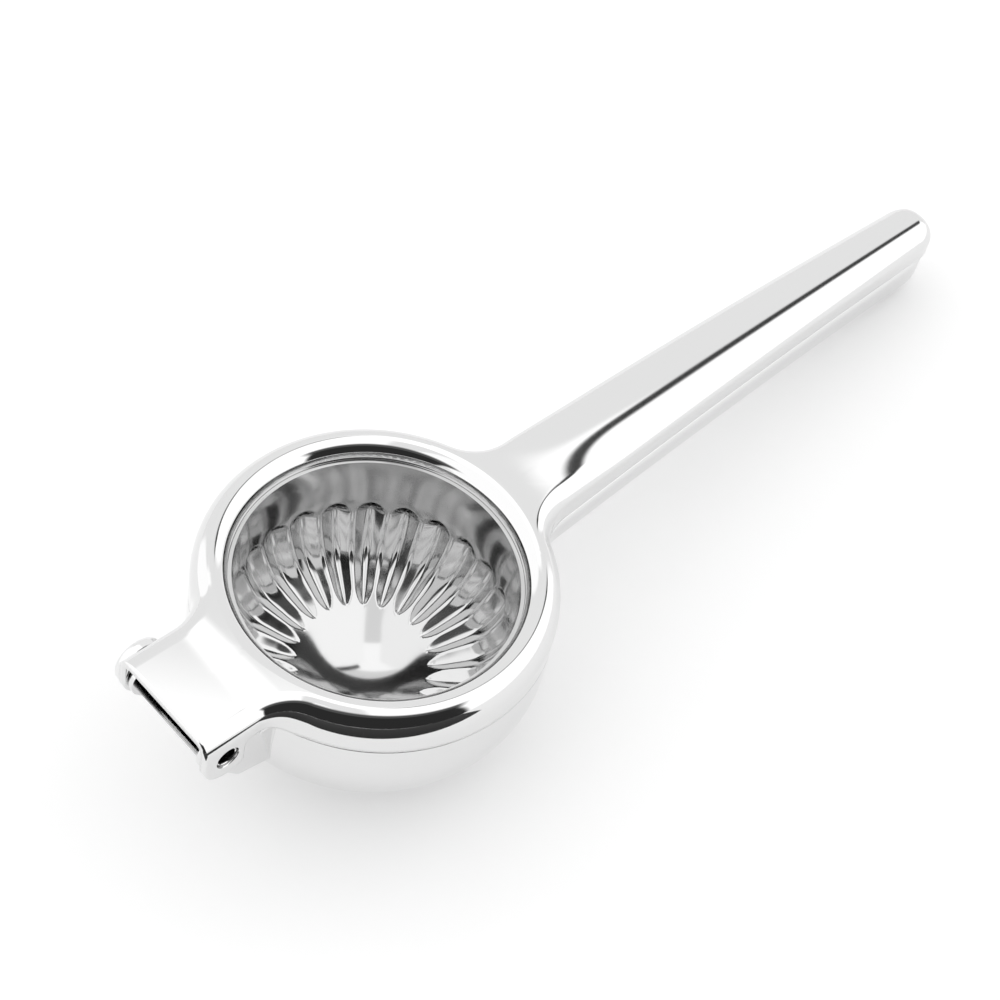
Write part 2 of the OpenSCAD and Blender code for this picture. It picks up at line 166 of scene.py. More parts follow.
PIN_X = -49.6
PIN_Z = 1.85
PIN_R = 2.45
HOLE_R = 2.5
SINK_R = 2.8
SINK = 0.35
NOTCH_R = 1.5
EAR_Y = 13.8
EAR_R = 5.79
EAR_BACK = 4.4
NECK_H = 4.2
PLATE_X = PIN_X - EAR_R
PLATE_UP = -0.2
HINGE_BEND = 3.5
EAR_FILLET = 10.0
LUG_R = 5.2
LUG_Y = EAR_Y - SHEET - 0.15
LUG_TOP = NECK_H + HINGE_BEND / 2
HEEL_X = PIN_X + 6.8
HEEL_R = 3.0
HEEL_DEPTH = 12.8
HEEL_SLOPE = 2.0
TONGUE_EDGE = 1.5
HEAD_R = 5.6
HEAD_H = 2.6
TAIL_BORE_R = 2.1
TAIL_RECESS = 0.4
TAIL_DEPTH = 6.0

FLOOR_R = RING_R - CORNER_R
REST_TILT = 10.953532

# %% [markdown]
# Small tools for all pieces: smooth steps, the way from the arm frame to the row
# frame, and a builder that welds grids of points into one mesh. Blender's own
# primitives could be joined instead, but grids that share an edge weld without a
# seam, and the shading then runs on over the join as it does on pressed sheet.

# %% Tools
def lerp(a, b, t):
    return a + (b - a) * t


def ease(t):
    """6t^5 - 15t^4 + 10t^3 between 0 and 1: level slope and level curvature at both ends."""
    t = np.clip(t, 0, 1)
    return t * t * t * (t * (6 * t - 15) + 10)


def above(x, x0, width):
    """x0 + width * ln(1 + exp((x - x0) / width)): x where it is large, x0 where it is small."""
    return x0 + width * np.logaddexp(0, (x - x0) / width)


def to_row(p):
    """Arm frame in millimetres to row frame in metres: lift by the bowl, then turn by the tilt."""
    t = math.radians(REST_TILT)
    x, y, z = p[..., 0], p[..., 1], p[..., 2] + BOWL_DEPTH
    row = [x * math.cos(t) + z * math.sin(t), y, z * math.cos(t) - x * math.sin(t)]
    return np.stack(row, -1) / 1000


def grid_quads(rows, cols, first=0):
    """Quads of a rows x cols grid of points numbered row by row from first."""
    i, j = np.meshgrid(np.arange(rows - 1), np.arange(cols - 1), indexing="ij")
    a = (first + i * cols + j).ravel()
    return np.stack([a, a + 1, a + cols + 1, a + cols], 1)


def mirrored(grid):
    """The same grid on the other side of y = 0, with its rows reversed to keep its facing."""
    return grid[::-1] * np.array([1, -1, 1])


def weld(grids, grain=1e-4):
    """One set of points and triangles from several grids: points closer than the grain merge."""
    points, quads, first = [], [], 0
    for g in grids:
        rows, cols = g.shape[:2]
        points.append(g.reshape(-1, 3))
        quads.append(grid_quads(rows, cols, first))
        first += rows * cols
    points, quads = np.concatenate(points), np.concatenate(quads)
    _, index, back = np.unique(np.round(points / grain).astype(np.int64), axis=0,
                               return_index=True, return_inverse=True)
    points, quads = points[index], back.reshape(-1)[quads]
    tris = np.concatenate([quads[:, [0, 1, 2]], quads[:, [0, 2, 3]]])
    sides = points[tris]
    area = np.linalg.norm(np.cross(sides[:, 1] - sides[:, 0], sides[:, 2] - sides[:, 0]), axis=1)
    in_plane = np.abs(sides[..., 1]).max(1) < grain
    return points, tris[(area > grain * grain) & ~in_plane]


def add_piece(name, grids, body, replaces=(), sharp=35, flip=False):
    """Makes one object from grids of points in the arm frame and lets it ride on its body."""
    points, tris = weld(grids)
    if flip:
        tris = tris[:, ::-1]
    mesh = bpy.data.meshes.new(name)
    mesh.vertices.add(len(points))
    mesh.vertices.foreach_set("co", to_row(points).ravel())
    mesh.loops.add(tris.size)
    mesh.loops.foreach_set("vertex_index", tris.ravel().astype(np.int32))
    mesh.polygons.add(len(tris))
    mesh.polygons.foreach_set("loop_start", np.arange(0, tris.size, 3, dtype=np.int32))
    mesh.polygons.foreach_set("use_smooth", np.ones(len(tris), bool))
    mesh.update(calc_edges=True)
    mesh.validate()
    mesh.set_sharp_from_angle(angle=math.radians(sharp))
    piece = bpy.data.objects.new(name, mesh)
    bpy.context.scene.collection.objects.link(piece)
    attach(piece, body)
    if replaces:
        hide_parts(*replaces)
    print(name, len(points), "points", len(tris), "triangles")
    return piece


# %% [markdown]
# Both arms are drawn round the same lines: the parting line, which leaves the ring
# and levels out at the tips, the top line over it, and the outline seen from above.
# Curves could be drawn by hand for them; written as functions of x, both arms read
# the same lines, and the closed handles meet along their whole length.

# %% Lines of the arms
def rise(x, x0=RING_R):
    """Share of the rise reached at x: 1 - ((tip - x) / (tip - x0))^power, started softly."""
    u = np.clip((TIP_X - above(x, x0, 3.0)) / (TIP_X - x0), 0, 1)
    return 1 - u ** RISE_POWER


def part_z(x):
    """Height of the parting line: a soft step at the ring, then the rise to the tip."""
    return PART_STEP * ease((x - 33) / 14) + (PART_TIP - PART_STEP) * rise(x)


def top_z(x, y):
    """The arm's top without its rounded edges: level on ring and plate, crowned on the handle."""
    crown = CROWN * ease((x - 37) / 30) * (y / side_w(x)) ** 2
    plate = PLATE_UP * ease((-35 - x) / 9)
    return CREST_H + plate + (TIP_TOP - CREST_H) * rise(x) - crown


def side_w(x):
    """Half width of the handle, a straight taper."""
    return ROOT_W + (TIP_W - ROOT_W) * (x - ROOT_X) / (TIP_X - ROOT_X)


def arc_points(cx, cy, r, start, end, step):
    """Points on an arc and the unit vectors from its centre to them."""
    n = max(4, int(abs(end - start) * r / step))
    q = np.linspace(start, end, n)
    out = np.stack([np.cos(q), np.sin(q)], 1)
    return np.array([cx, cy]) + r * out, out


def root_fillet_centre(r):
    """Centre of the circle that touches the ring and the handle's side from outside."""
    k = (ROOT_W - TIP_W) / (TIP_X - ROOT_X)
    w0 = ROOT_W + k * ROOT_X + r * math.sqrt(1 + k * k)
    b, c = -2 * w0 * k, w0 * w0 - (RING_R + r) ** 2
    cx = (-b + math.sqrt(b * b - 4 * (1 + k * k) * c)) / (2 * (1 + k * k))
    return cx, w0 - k * cx, k


def outline(step=0.5):
    """Half outline of the press arm from the plate's front to the tip, on the +Y side.

    Returns points, inward unit normals and the number of the stretch of each point:
    0 ear, 1 ear fillet, 2 ring, 3 handle fillet, 4 handle side, 5 tip.
    """
    parts = []
    ecx = -math.sqrt((RING_R + EAR_FILLET) ** 2 - (EAR_Y + EAR_FILLET) ** 2)
    ecy = EAR_Y + EAR_FILLET
    x = np.linspace(PLATE_X, ecx, int((ecx - PLATE_X) / step))
    parts.append((np.stack([x, np.full_like(x, EAR_Y)], 1), np.tile([0.0, -1.0], (len(x), 1))))
    parts.append(arc_points(ecx, ecy, EAR_FILLET, -math.pi / 2, math.atan2(-ecy, -ecx), step / 2))
    hcx, hcy, k = root_fillet_centre(ROOT_FILLET)
    ring, out = arc_points(0, 0, RING_R, math.atan2(ecy, ecx), math.atan2(hcy, hcx), step)
    parts.append((ring, -out))
    parts.append(arc_points(hcx, hcy, ROOT_FILLET, math.atan2(-hcy, -hcx),
                            math.atan2(-1, -k), step / 2))
    x0 = parts[-1][0][-1, 0]
    x = np.linspace(x0, TIP_X - TIP_LEN, int((TIP_X - TIP_LEN - x0) / (2 * step)))
    n = np.array([-k, -1]) / math.hypot(k, 1)
    parts.append((np.stack([x, side_w(x)], 1), np.tile(n, (len(x), 1))))
    q = np.linspace(0, math.pi / 2, 40)
    u, v = np.sin(q) ** (2 / TIP_POWER), np.cos(q) ** (2 / TIP_POWER)
    w = side_w(TIP_X - TIP_LEN)
    tip = np.stack([TIP_X - TIP_LEN + TIP_LEN * u, w * v], 1)
    n = -np.stack([u ** (TIP_POWER - 1) / TIP_LEN + k * (1 - u) / w, v ** (TIP_POWER - 1) / w], 1)
    parts.append((tip, n / np.linalg.norm(n, axis=1, keepdims=True)))
    points = np.concatenate([p[(1 if i else 0):] for i, (p, _) in enumerate(parts)])
    normals = np.concatenate([n[(1 if i else 0):] for i, (_, n) in enumerate(parts)])
    stretch = np.concatenate([np.full(len(p) - (1 if i else 0), i)
                              for i, (p, _) in enumerate(parts)])
    return points, normals, stretch


# %% [markdown]
# The press arm is one stamped sheet: ring, handle, hinge plate and two ears. Its outer
# skin is a grid: along the outline in one direction; in the other up the wall, over
# the bent edge, across the top to the crest or the centre line, and down the collar
# to the lip that holds the cup. It could be cut from a block with booleans, but their
# edges break the reflections. The grid is one flowing skin, half of it is mirrored,
# and Solidify gives it the sheet's thickness.

# %% Press arm
def spread(points, stretch):
    """Where each outline point's section ends: on the ring's crest, or on the centre line."""
    step = np.r_[0, np.cumsum(np.linalg.norm(np.diff(points, axis=0), axis=1))]
    angle = np.arctan2(points[:, 1], points[:, 0])
    on_ring = stretch == 2
    first, last = np.flatnonzero(on_ring)[[0, -1]]
    end = np.empty_like(points)
    on_crest = np.zeros(len(points), bool)
    end[on_ring] = CREST_R * np.stack([np.cos(angle[on_ring]), np.sin(angle[on_ring])], 1)
    on_crest[on_ring] = True
    for side, edge, stop in ((1, last, 64.0), (-1, first, PLATE_X)):
        part = np.arange(edge + 1, len(points)) if side > 0 else np.arange(edge - 1, -1, -1)
        a0 = angle[edge] if side > 0 else math.pi - angle[edge]
        stop_i = part[-1] if side < 0 else part[np.argmax(points[part, 0] > stop)]
        run = np.abs(step[part] - step[edge]) / abs(step[stop_i] - step[edge])
        arc_len = CREST_R * a0
        whole = arc_len + abs(stop) - CREST_R
        way = run * whole
        corner = np.argmin(np.abs(way - arc_len))
        way[corner] = arc_len
        q = np.clip(a0 - way / CREST_R, 0, None)
        x = np.where(way <= arc_len, CREST_R * np.cos(q), CREST_R + way - arc_len)
        y = np.where(way < arc_len, CREST_R * np.sin(q), 0.0)
        if side > 0:
            far = points[part, 0]
            x = np.where(run > 1, far, x)
            x = np.minimum(x, TIP_X - TIP_LEN)
        end[part] = np.stack([side * x, y], 1)
        on_crest[part] = way <= arc_len
    return end, on_crest


def press_skin(wall=7, bend=14, across=12, collar=10):
    """Rows along the outline of the outer skin of the press arm, on the +Y side."""
    points, normals, stretch = outline()
    run = np.r_[0, np.cumsum(np.linalg.norm(np.diff(points, axis=0), axis=1))]
    end, on_crest = spread(points, stretch)
    ring0, ring1 = run[np.flatnonzero(stretch == 2)[[0, -1]]]
    hinge = 1 - ease((run - (ring0 - 9)) / 12)
    handle = ease((run - (ring1 - 4)) / 20)
    bend_w = lerp(lerp(RING_R - CREST_R, HINGE_BEND, hinge), HANDLE_BEND, handle)
    x = points[:, 0]
    shoulder = part_z(x) + lerp(SHOULDER_ROOT, SHOULDER_TIP, np.clip((x - 44) / (TIP_X - 44), 0, 1))
    wall_top = lerp(lerp(SKIRT_H, CREST_H + PLATE_UP - HINGE_BEND, hinge), shoulder, handle)
    fillet = run[stretch == 1]
    neck = np.where(stretch == 0, 1.0, 1 - ease((run - fillet[0]) / np.ptp(fillet)))
    wall_low = np.where(stretch >= 2, part_z(x), NECK_H * neck)
    inner = points + normals * bend_w[:, None]
    columns = []
    for t in np.linspace(0, 1, wall):
        columns.append(np.column_stack([points, lerp(wall_low, wall_top, t)]))
    for q in np.linspace(0, math.pi / 2, bend)[1:]:
        plan = points + normals * (bend_w * (1 - math.cos(q)))[:, None]
        z = lerp(wall_top, top_z(plan[:, 0], plan[:, 1]), math.sin(q))
        columns.append(np.column_stack([plan, z]))
    for t in np.linspace(0, 1, across)[1:]:
        plan = lerp(inner, end, t)
        columns.append(np.column_stack([plan, top_z(plan[:, 0], plan[:, 1])]))
    radius = np.linalg.norm(end, axis=1)
    for q in np.linspace(0, math.pi / 2, collar)[1:]:
        shrink = np.where(on_crest, (CREST_R - (CREST_R - LIP_R) * math.sin(q)) / radius, 1.0)
        plan = end * shrink[:, None]
        drop = np.where(on_crest, (CREST_H - LIP_H) * (1 - math.cos(q)), 0)
        z = top_z(end[:, 0], end[:, 1]) - drop
        columns.append(np.column_stack([plan, z]))
    plan = end * np.where(on_crest, LIP_R / radius, 1.0)[:, None]
    z = top_z(end[:, 0], end[:, 1]) - np.where(on_crest, CREST_H - LIP_H + LAND, 0)
    columns.append(np.column_stack([plan, z]))
    skin = np.stack(columns, 1)
    ears = stretch == 0
    last_ear = np.flatnonzero(ears)[-1]
    return skin[: last_ear + 1, wall - 1:], skin[last_ear:], skin[last_ear, :wall]


def ear_faces(top_edge, side_edge, rings=8):
    """The hinge's flat side: rays from the hole's sunk rim to the lobe, a strip behind it."""
    split = np.argmin(np.abs(top_edge[:, 0] - PIN_X - EAR_BACK))
    back_x, top = top_edge[split, 0], top_edge[0, 2]
    x = top_edge[split:, 0]
    inward = np.clip(1 - (x - back_x) / NOTCH_R, 0, 1)
    low = NECK_H - NOTCH_R * (1 - np.sqrt(1 - inward ** 2))
    z = lerp(low[:, None], top, np.linspace(0, 1, len(side_edge)))
    strip = np.stack([x[:, None] + 0 * z, EAR_Y + 0 * z, z], -1)
    q = np.linspace(math.pi, 2 * math.pi - math.acos((back_x - PIN_X) / EAR_R), 60)
    lobe = np.stack([PIN_X + EAR_R * np.cos(q), PIN_Z + EAR_R * np.sin(q)], 1)
    front = np.stack([np.full(16, PLATE_X), np.linspace(top, PIN_Z, 16)], 1)
    back = np.linspace(lobe[-1], [back_x, low[0]], 10)
    loop = np.concatenate([front, lobe[1:], back[1:], strip[0, 1:, [0, 2]].T,
                           top_edge[split::-1, [0, 2]][1:]])
    pin = np.array([PIN_X, PIN_Z])
    away = loop - pin
    away /= np.linalg.norm(away, axis=1, keepdims=True)
    rows = [pin + HOLE_R * away, pin + SINK_R * away]
    rows += [lerp(rows[1], loop, t) for t in np.linspace(0, 1, rings)[1:]]
    face = np.stack(rows, 1)
    y = np.full(face.shape[:2], EAR_Y)
    y[:, 0] -= SINK
    return np.stack([face[..., 0], y, face[..., 1]], -1)[::-1], strip


def sheet_of(piece):
    """Gives a skin the thickness of the sheet, inward."""
    thick = piece.modifiers.new("sheet", "SOLIDIFY")
    thick.thickness = SHEET / 1000
    thick.offset = -1
    thick.use_even_offset = False


plate_grid, arm_grid, side_edge = press_skin()
half = [plate_grid, arm_grid, *ear_faces(plate_grid[:, 0], side_edge)]
press_arm = add_piece("press_arm_skin", half + [mirrored(g) for g in half], "press_side",
                      ["press_arm"])
sheet_of(press_arm)

# %% [markdown]
# The press cup is deep drawn from thin sheet, and its flutes grip the lemon. Its wall
# is r = R cos q at the depth D sin(q)^p, where p grows from the wall to the domed
# floor, and each flute pushes the wall outward by a tent shape that is round at both
# ends. The flutes could be 24 copies cut into a bowl; as a push on one surface they
# run out softly into it, as pressed metal does. The inside and the outside are the
# same function with a different offset, joined at the rim.

# %% Press cup
def cup_surface(q, angle, grow):
    """Points of the cup's wall at meridian angle q, offset outward by grow, with its flutes."""
    q, angle = np.broadcast_arrays(q, angle)
    head = np.clip((q - FLUTE_Q0) / FLUTE_HEAD, 0, 1)
    foot = np.clip((FLUTE_Q1 - q) / FLUTE_FOOT, 0, 1)
    foot_round = np.sqrt(1 - (1 - foot) ** 2)
    half = FLUTE_SHARE * np.sqrt(1 - (1 - head) ** 2) * foot_round
    turn = (angle - math.radians(FLUTE_PHASE)) * FLUTES / (2 * math.pi)
    u = np.abs(turn - np.round(turn)) * 2
    tent = np.clip(1 - u / np.maximum(half, 1e-6), 0, 1)
    tent = tent - 0.12 * np.clip((tent - 0.7) / 0.3, 0, 1) ** 2
    push = FLUTE_DEPTH * head * (2 - head) * foot_round * np.cos(q) * tent
    power = lerp(WALL_POWER, 1.0, ease((q - math.radians(30)) / math.radians(40)))
    r = (CUP_R + grow) * np.cos(q) + push * np.cos(q)
    z = -(CUP_DEPTH + grow) * np.sin(q) ** power - push * np.sin(q)
    return np.stack([r * np.cos(angle), r * np.sin(angle), z + LIP_H - RIM_DROP], -1)


angle = np.linspace(0, 2 * math.pi, FLUTES * 18 + 1)
meridian = np.radians(np.concatenate([[0, 0.4, 1.2, 2.5, 4.5, 7, 9.5], np.linspace(10.5, 18, 24),
                                      np.linspace(19, 60, 50), np.linspace(61, 90, 30)]))
inside = cup_surface(meridian[:, None], angle[None, :], 0.0)
outside = cup_surface(meridian[:, None], angle[None, :], CUP_SHEET)
rim = np.stack([inside[0], outside[0]])
press_cup = add_piece("press_cup_wall", [inside[::-1], rim, outside], "press_side",
                      ["press_cup"])

# %% [markdown]
# Slots and bores are punched or drilled after the sheet is shaped. The mesh does the
# same: the cutter is a closed body, an exact boolean works the cut out once, and the
# cutter is thrown away, so that only the finished mesh stays. A hole could be left
# in the grid instead, but its round ends would need a grid bent to fit them.

# %% Cutting
def prism(outline, low, high, axis):
    """A closed body: an outline (n, 2) run from low to high along Y ("y") or Z ("z")."""
    n = len(outline)
    ends = [np.full(n, low), np.full(n, high)]
    a, b = outline[:, 0], outline[:, 1]
    points = np.concatenate([np.stack([a, e, b] if axis == "y" else [a, b, e], 1) for e in ends])
    ring = np.arange(n)
    after = (ring + 1) % n
    sides = np.stack([ring, after, after + n, ring + n], 1).tolist()
    mesh = bpy.data.meshes.new("prism")
    caps = [ring[::-1].tolist(), (ring + n).tolist()]
    mesh.from_pydata(to_row(points).tolist(), [], caps + sides)
    work = bmesh.new()
    work.from_mesh(mesh)
    bmesh.ops.recalc_face_normals(work, faces=work.faces)
    work.to_mesh(mesh)
    work.free()
    body = bpy.data.objects.new("prism", mesh)
    bpy.context.scene.collection.objects.link(body)
    return body


def settle(piece, sharp=35):
    """Applies a piece's modifiers to its mesh and marks its sharp edges."""
    ready = piece.evaluated_get(bpy.context.evaluated_depsgraph_get())
    mesh = bpy.data.meshes.new_from_object(ready)
    mesh.name = piece.name
    piece.modifiers.clear()
    piece.data = mesh
    mesh.polygons.foreach_set("use_smooth", np.ones(len(mesh.polygons), bool))
    mesh.set_sharp_from_angle(angle=math.radians(sharp))


def carve(piece, cutters):
    """Takes the cutters out of a piece and removes them."""
    for cutter in cutters:
        cut = piece.modifiers.new("cut", "BOOLEAN")
        cut.operation = "DIFFERENCE"
        cut.solver = "EXACT"
        cut.object = cutter
    settle(piece)
    for cutter in cutters:
        bpy.data.objects.remove(cutter)


# %% [markdown]
# The bowl is drawn from sheet and holds the lemon. A half outline is turned about the
# cup's axis, once for the outside and once for the inside, as on a spinning lathe. A
# Screw modifier could do it; arrays make both walls meet exactly at the rim. The
# strainer slots are then punched through its floor in two rings.

# %% Bowl
def bowl_profile(inset, top):
    """Half outline of the bowl from its wall down to the middle of its floor."""
    q = np.linspace(0, math.pi / 2, 40)
    centre = CORNER_R - BOWL_DEPTH
    r = FLOOR_R + (CORNER_R - inset) * np.cos(q)
    z = centre - (CORNER_R - inset) * np.sin(q)
    wall = np.stack([np.full(6, RING_R - inset), np.linspace(top, centre, 6)], 1)
    floor = np.stack([np.linspace(FLOOR_R, 0, 12), np.full(12, inset - BOWL_DEPTH)], 1)
    return np.concatenate([wall, np.stack([r, z], 1)[1:], floor[1:]])


def revolve(profile, count=180):
    """Turns a half outline (radius, height) about the cup's axis."""
    a = np.linspace(0, 2 * math.pi, count + 1)
    r, z = profile[:, 0][:, None], profile[:, 1][:, None]
    return np.stack([r * np.cos(a), r * np.sin(a), z + 0 * a], -1)


def slot_outline(turn, start, length):
    """A slot with round ends, pointing away from the axis at the given turn."""
    q = np.linspace(-math.pi / 2, math.pi / 2, 14)
    far = np.stack([start + length + SLOT_W / 2 * np.cos(q), SLOT_W / 2 * np.sin(q)], 1)
    near = np.stack([start - SLOT_W / 2 * np.cos(q), -SLOT_W / 2 * np.sin(q)], 1)
    c, s = math.cos(turn), math.sin(turn)
    return np.concatenate([far, near]) @ np.array([[c, s], [-s, c]])


bowl_outer = bowl_profile(0, -PART_GAP)
bowl_inner = bowl_profile(SHEET, -PART_GAP)
bowl_rim = np.stack([bowl_inner[0], bowl_outer[0]])
bowl = add_piece("bowl_shell", [revolve(bowl_inner[::-1]), revolve(bowl_rim), revolve(bowl_outer)],
                 "bowl_side", ["bowl_arm"])
slots = [slot_outline(2 * math.pi * (i + 0.5) / count, start, length)
         for count, start, length in SLOT_RINGS for i in range(count)]
carve(bowl, [prism(slot, -BOWL_DEPTH - 1, -BOWL_DEPTH / 2, "z") for slot in slots])
print("slots", len(slots))


# %% [markdown]
# The bowl arm's handle is a channel pressed from sheet: a rounded belly, straight
# sides, and edges turned in round a long mouth, which a flat plate closes. It could
# be a bevelled curve, but its section changes on the way: sections along x, each
# shrunk to nothing at the tip, give the belly, the edges and the round end at once.

# %% Bowl handle
def handle_half_w(x, fillet):
    """Half width of the handle with its flare into the ring, as the outline has it."""
    hcx, hcy, k = root_fillet_centre(fillet)
    flare = hcy - np.sqrt(np.maximum(fillet ** 2 - (x - hcx) ** 2, 0))
    touch = hcx - k * fillet / math.hypot(1, k)
    return np.where(x < touch, flare, side_w(x))


def mouth_half_w(x):
    """Half width of the mouth: inside the turned edges, with a round end near the tip."""
    end = BOWL_TIP_X - SHEET - EDGE_R - LIP_W
    r = side_w(end) - EDGE_R - LIP_W
    round_end = np.sqrt(np.clip(r * r - (x - end + r) ** 2, 0, None))
    return np.where(x < end - r, side_w(x) - EDGE_R - LIP_W, np.where(x < end, round_end, 0))


def bowl_handle():
    """Sections of the outer skin from the bowl's wall to the tip, from mouth to belly."""
    hcx = root_fillet_centre(ROOT_FILLET)[0]
    x0 = hcx * RING_R / (RING_R + ROOT_FILLET) + 0.4
    end = BOWL_TIP_X
    q = np.linspace(0, math.pi / 2, 30)
    x = np.concatenate([np.linspace(x0, 50, 40), np.linspace(50, end - TIP_LEN, 110)[1:],
                        (end - TIP_LEN + TIP_LEN * np.sin(q) ** (2 / TIP_POWER))[1:]])
    f = (1 - np.clip((x - end + TIP_LEN) / TIP_LEN, 0, 1) ** TIP_POWER) ** (1 / TIP_POWER)
    w = handle_half_w(x, ROOT_FILLET) * f
    r = EDGE_R * f
    mouth = np.minimum(mouth_half_w(x), w - r)
    top = part_z(x) - PART_GAP
    low = part_z(x) - BOWL_HANDLE_H * lerp(0.6, 1, f)
    mid = top - r - 1.5 * f
    rows = [np.stack([x, lerp(mouth, w - r, t), top], 1) for t in np.linspace(0, 1, 6)]
    rows += [np.stack([x, w - r + r * math.sin(q), top - r + r * math.cos(q)], 1)
             for q in np.linspace(0, math.pi / 2, 10)[1:]]
    rows += [np.stack([x, w * math.cos(q) ** 0.8, mid - (mid - low) * math.sin(q) ** 0.8], 1)
             for q in np.linspace(0, math.pi / 2, 28)]
    return np.stack(rows, 1)


handle = bowl_handle()[:, ::-1]
bowl_grip = add_piece("bowl_handle_shell", [handle, mirrored(handle)], "bowl_side")
sheet_of(bowl_grip)

# %% [markdown]
# The tongue stands out from the bowl towards the hinge pin: a folded sheet with two
# lugs and a round heel between them. Folding a flat sheet in the mesh is fiddly, so a
# full body with bevelled edges is hollowed from the front and drilled for the pin,
# which leaves the same walls as the fold does.

# %% Tongue
def tongue_outline(inset):
    """Side view of the tongue: round about the pin, down to the heel, back to the bowl."""
    r1, r2 = LUG_R - inset, HEEL_R - inset
    p1, p2 = np.array([PIN_X, PIN_Z]), np.array([HEEL_X, HEEL_R - HEEL_DEPTH])
    span = p2 - p1
    touch = math.atan2(span[1], span[0]) - math.pi / 2 + math.asin((r1 - r2) / np.hypot(*span))
    start = math.asin((LUG_TOP - inset - PIN_Z) / r1)
    q = np.linspace(start, touch + 2 * math.pi, 60)
    lug = p1 + r1 * np.stack([np.cos(q), np.sin(q)], 1)
    q = np.linspace(touch, -math.pi / 2, 16)
    heel = p2 + r2 * np.stack([np.cos(q), np.sin(q)], 1)
    back = np.array([[-CREST_R, -HEEL_DEPTH - HEEL_SLOPE + inset], [-CREST_R, -PART_GAP - inset],
                     [-RING_R - 1, -PART_GAP - inset], [-RING_R - 1, LUG_TOP - inset]])
    return np.concatenate([lug, heel, back])


def circle(cx, cy, r, n=64):
    """n points of a circle: centre + r * (cos q, sin q)."""
    q = np.linspace(0, 2 * math.pi, n, endpoint=False)
    return np.stack([cx + r * np.cos(q), cy + r * np.sin(q)], 1)


tongue = prism(tongue_outline(0), -LUG_Y, LUG_Y, "y")
tongue.name = "tongue"
rounded = tongue.modifiers.new("edges", "BEVEL")
rounded.width = TONGUE_EDGE / 1000
rounded.segments = 6
rounded.limit_method = "ANGLE"
rounded.angle_limit = math.radians(40)
settle(tongue)
mouth = np.array([[PLATE_X, PIN_Z - LUG_R], [PLATE_X, CREST_H], [-RING_R, CREST_H],
                  [-RING_R, -HEEL_DEPTH / 2], [PIN_X, PIN_Z - LUG_R]])
room = LUG_Y - SHEET
carve(tongue, [prism(circle(PIN_X, PIN_Z, HOLE_R), -20, 20, "y"),
               prism(tongue_outline(SHEET), -room, room, "y"), prism(mouth, -room, room, "y"),
               prism(circle(0, 0, RING_R - SHEET / 2, 180), -BOWL_DEPTH, CREST_H, "z")])
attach(tongue, "bowl_side")
print("tongue", len(tongue.data.vertices), "points")


# %% [markdown]
# The hinge pin is a rivet: a rounded head on the far ear, and a hollow tail that ends
# just inside the near ear. Cylinders could be stacked for it, but a lathe outline
# turned about the pin's axis also gives the small broken edges that catch the light.

# %% Hinge pin
def pin_surface():
    """The rivet's outline (radius, place along the pin), turned about the pin's axis."""
    tail, head = TAIL_RECESS - EAR_Y, EAR_Y + 0.05
    q = np.linspace(0, math.pi / 2, 12)
    rounding = HEAD_H * 0.6
    bore, edge = tail + TAIL_DEPTH, 0.12
    rows = [[0, bore], [TAIL_BORE_R, bore], [TAIL_BORE_R, tail + edge], [TAIL_BORE_R + edge, tail],
            [PIN_R - edge, tail], [PIN_R, tail + edge], [PIN_R, head], [HEAD_R, head]]
    rows += [[HEAD_R - rounding * (1 - math.cos(a)), head + HEAD_H - rounding * (1 - math.sin(a))]
             for a in q]
    rows += [[0, head + HEAD_H]]
    rows = np.array(rows)
    a = np.linspace(0, 2 * math.pi, 97)
    r, y = rows[:, 0][:, None], rows[:, 1][:, None]
    return np.stack([PIN_X + r * np.cos(a), y + 0 * a, PIN_Z + r * np.sin(a)], -1)


pin = add_piece("hinge_rivet", [pin_surface()], "press_side", ["hinge_pin"])

# %% [markdown]
# Stainless steel comes here in four finishes: mirror polish on the arms, a softer
# polish on the drawn cup, satin on the two cover plates, and a tumbled rivet. All are
# one metal shader; what tells them apart is the roughness, which a fine noise in the
# object's own coordinates varies as hand polishing does. Image textures could carry
# it, but noise has no seams and needs no unwrapping.

# %% Materials
def steel(name, colour, rough, grain, bump):
    """A polished or satin metal; the grain is a noise in the object's own coordinates."""
    material = bpy.data.materials.new(name)
    material.use_nodes = True
    nodes, links = material.node_tree.nodes, material.node_tree.links
    shader = nodes["Principled BSDF"]
    shader.inputs["Base Color"].default_value = (*colour, 1)
    shader.inputs["Metallic"].default_value = 1
    where = nodes.new("ShaderNodeTexCoord")
    noise = nodes.new("ShaderNodeTexNoise")
    noise.inputs["Scale"].default_value = grain
    noise.inputs["Detail"].default_value = 4
    links.new(where.outputs["Object"], noise.inputs["Vector"])
    spread_of = nodes.new("ShaderNodeMapRange")
    spread_of.inputs["To Min"].default_value = rough * 0.8
    spread_of.inputs["To Max"].default_value = rough * 1.25
    links.new(noise.outputs["Fac"], spread_of.inputs["Value"])
    links.new(spread_of.outputs["Result"], shader.inputs["Roughness"])
    if bump:
        relief = nodes.new("ShaderNodeBump")
        relief.inputs["Strength"].default_value = bump
        relief.inputs["Distance"].default_value = 0.0001
        links.new(noise.outputs["Fac"], relief.inputs["Height"])
        links.new(relief.outputs["Normal"], shader.inputs["Normal"])
    return material


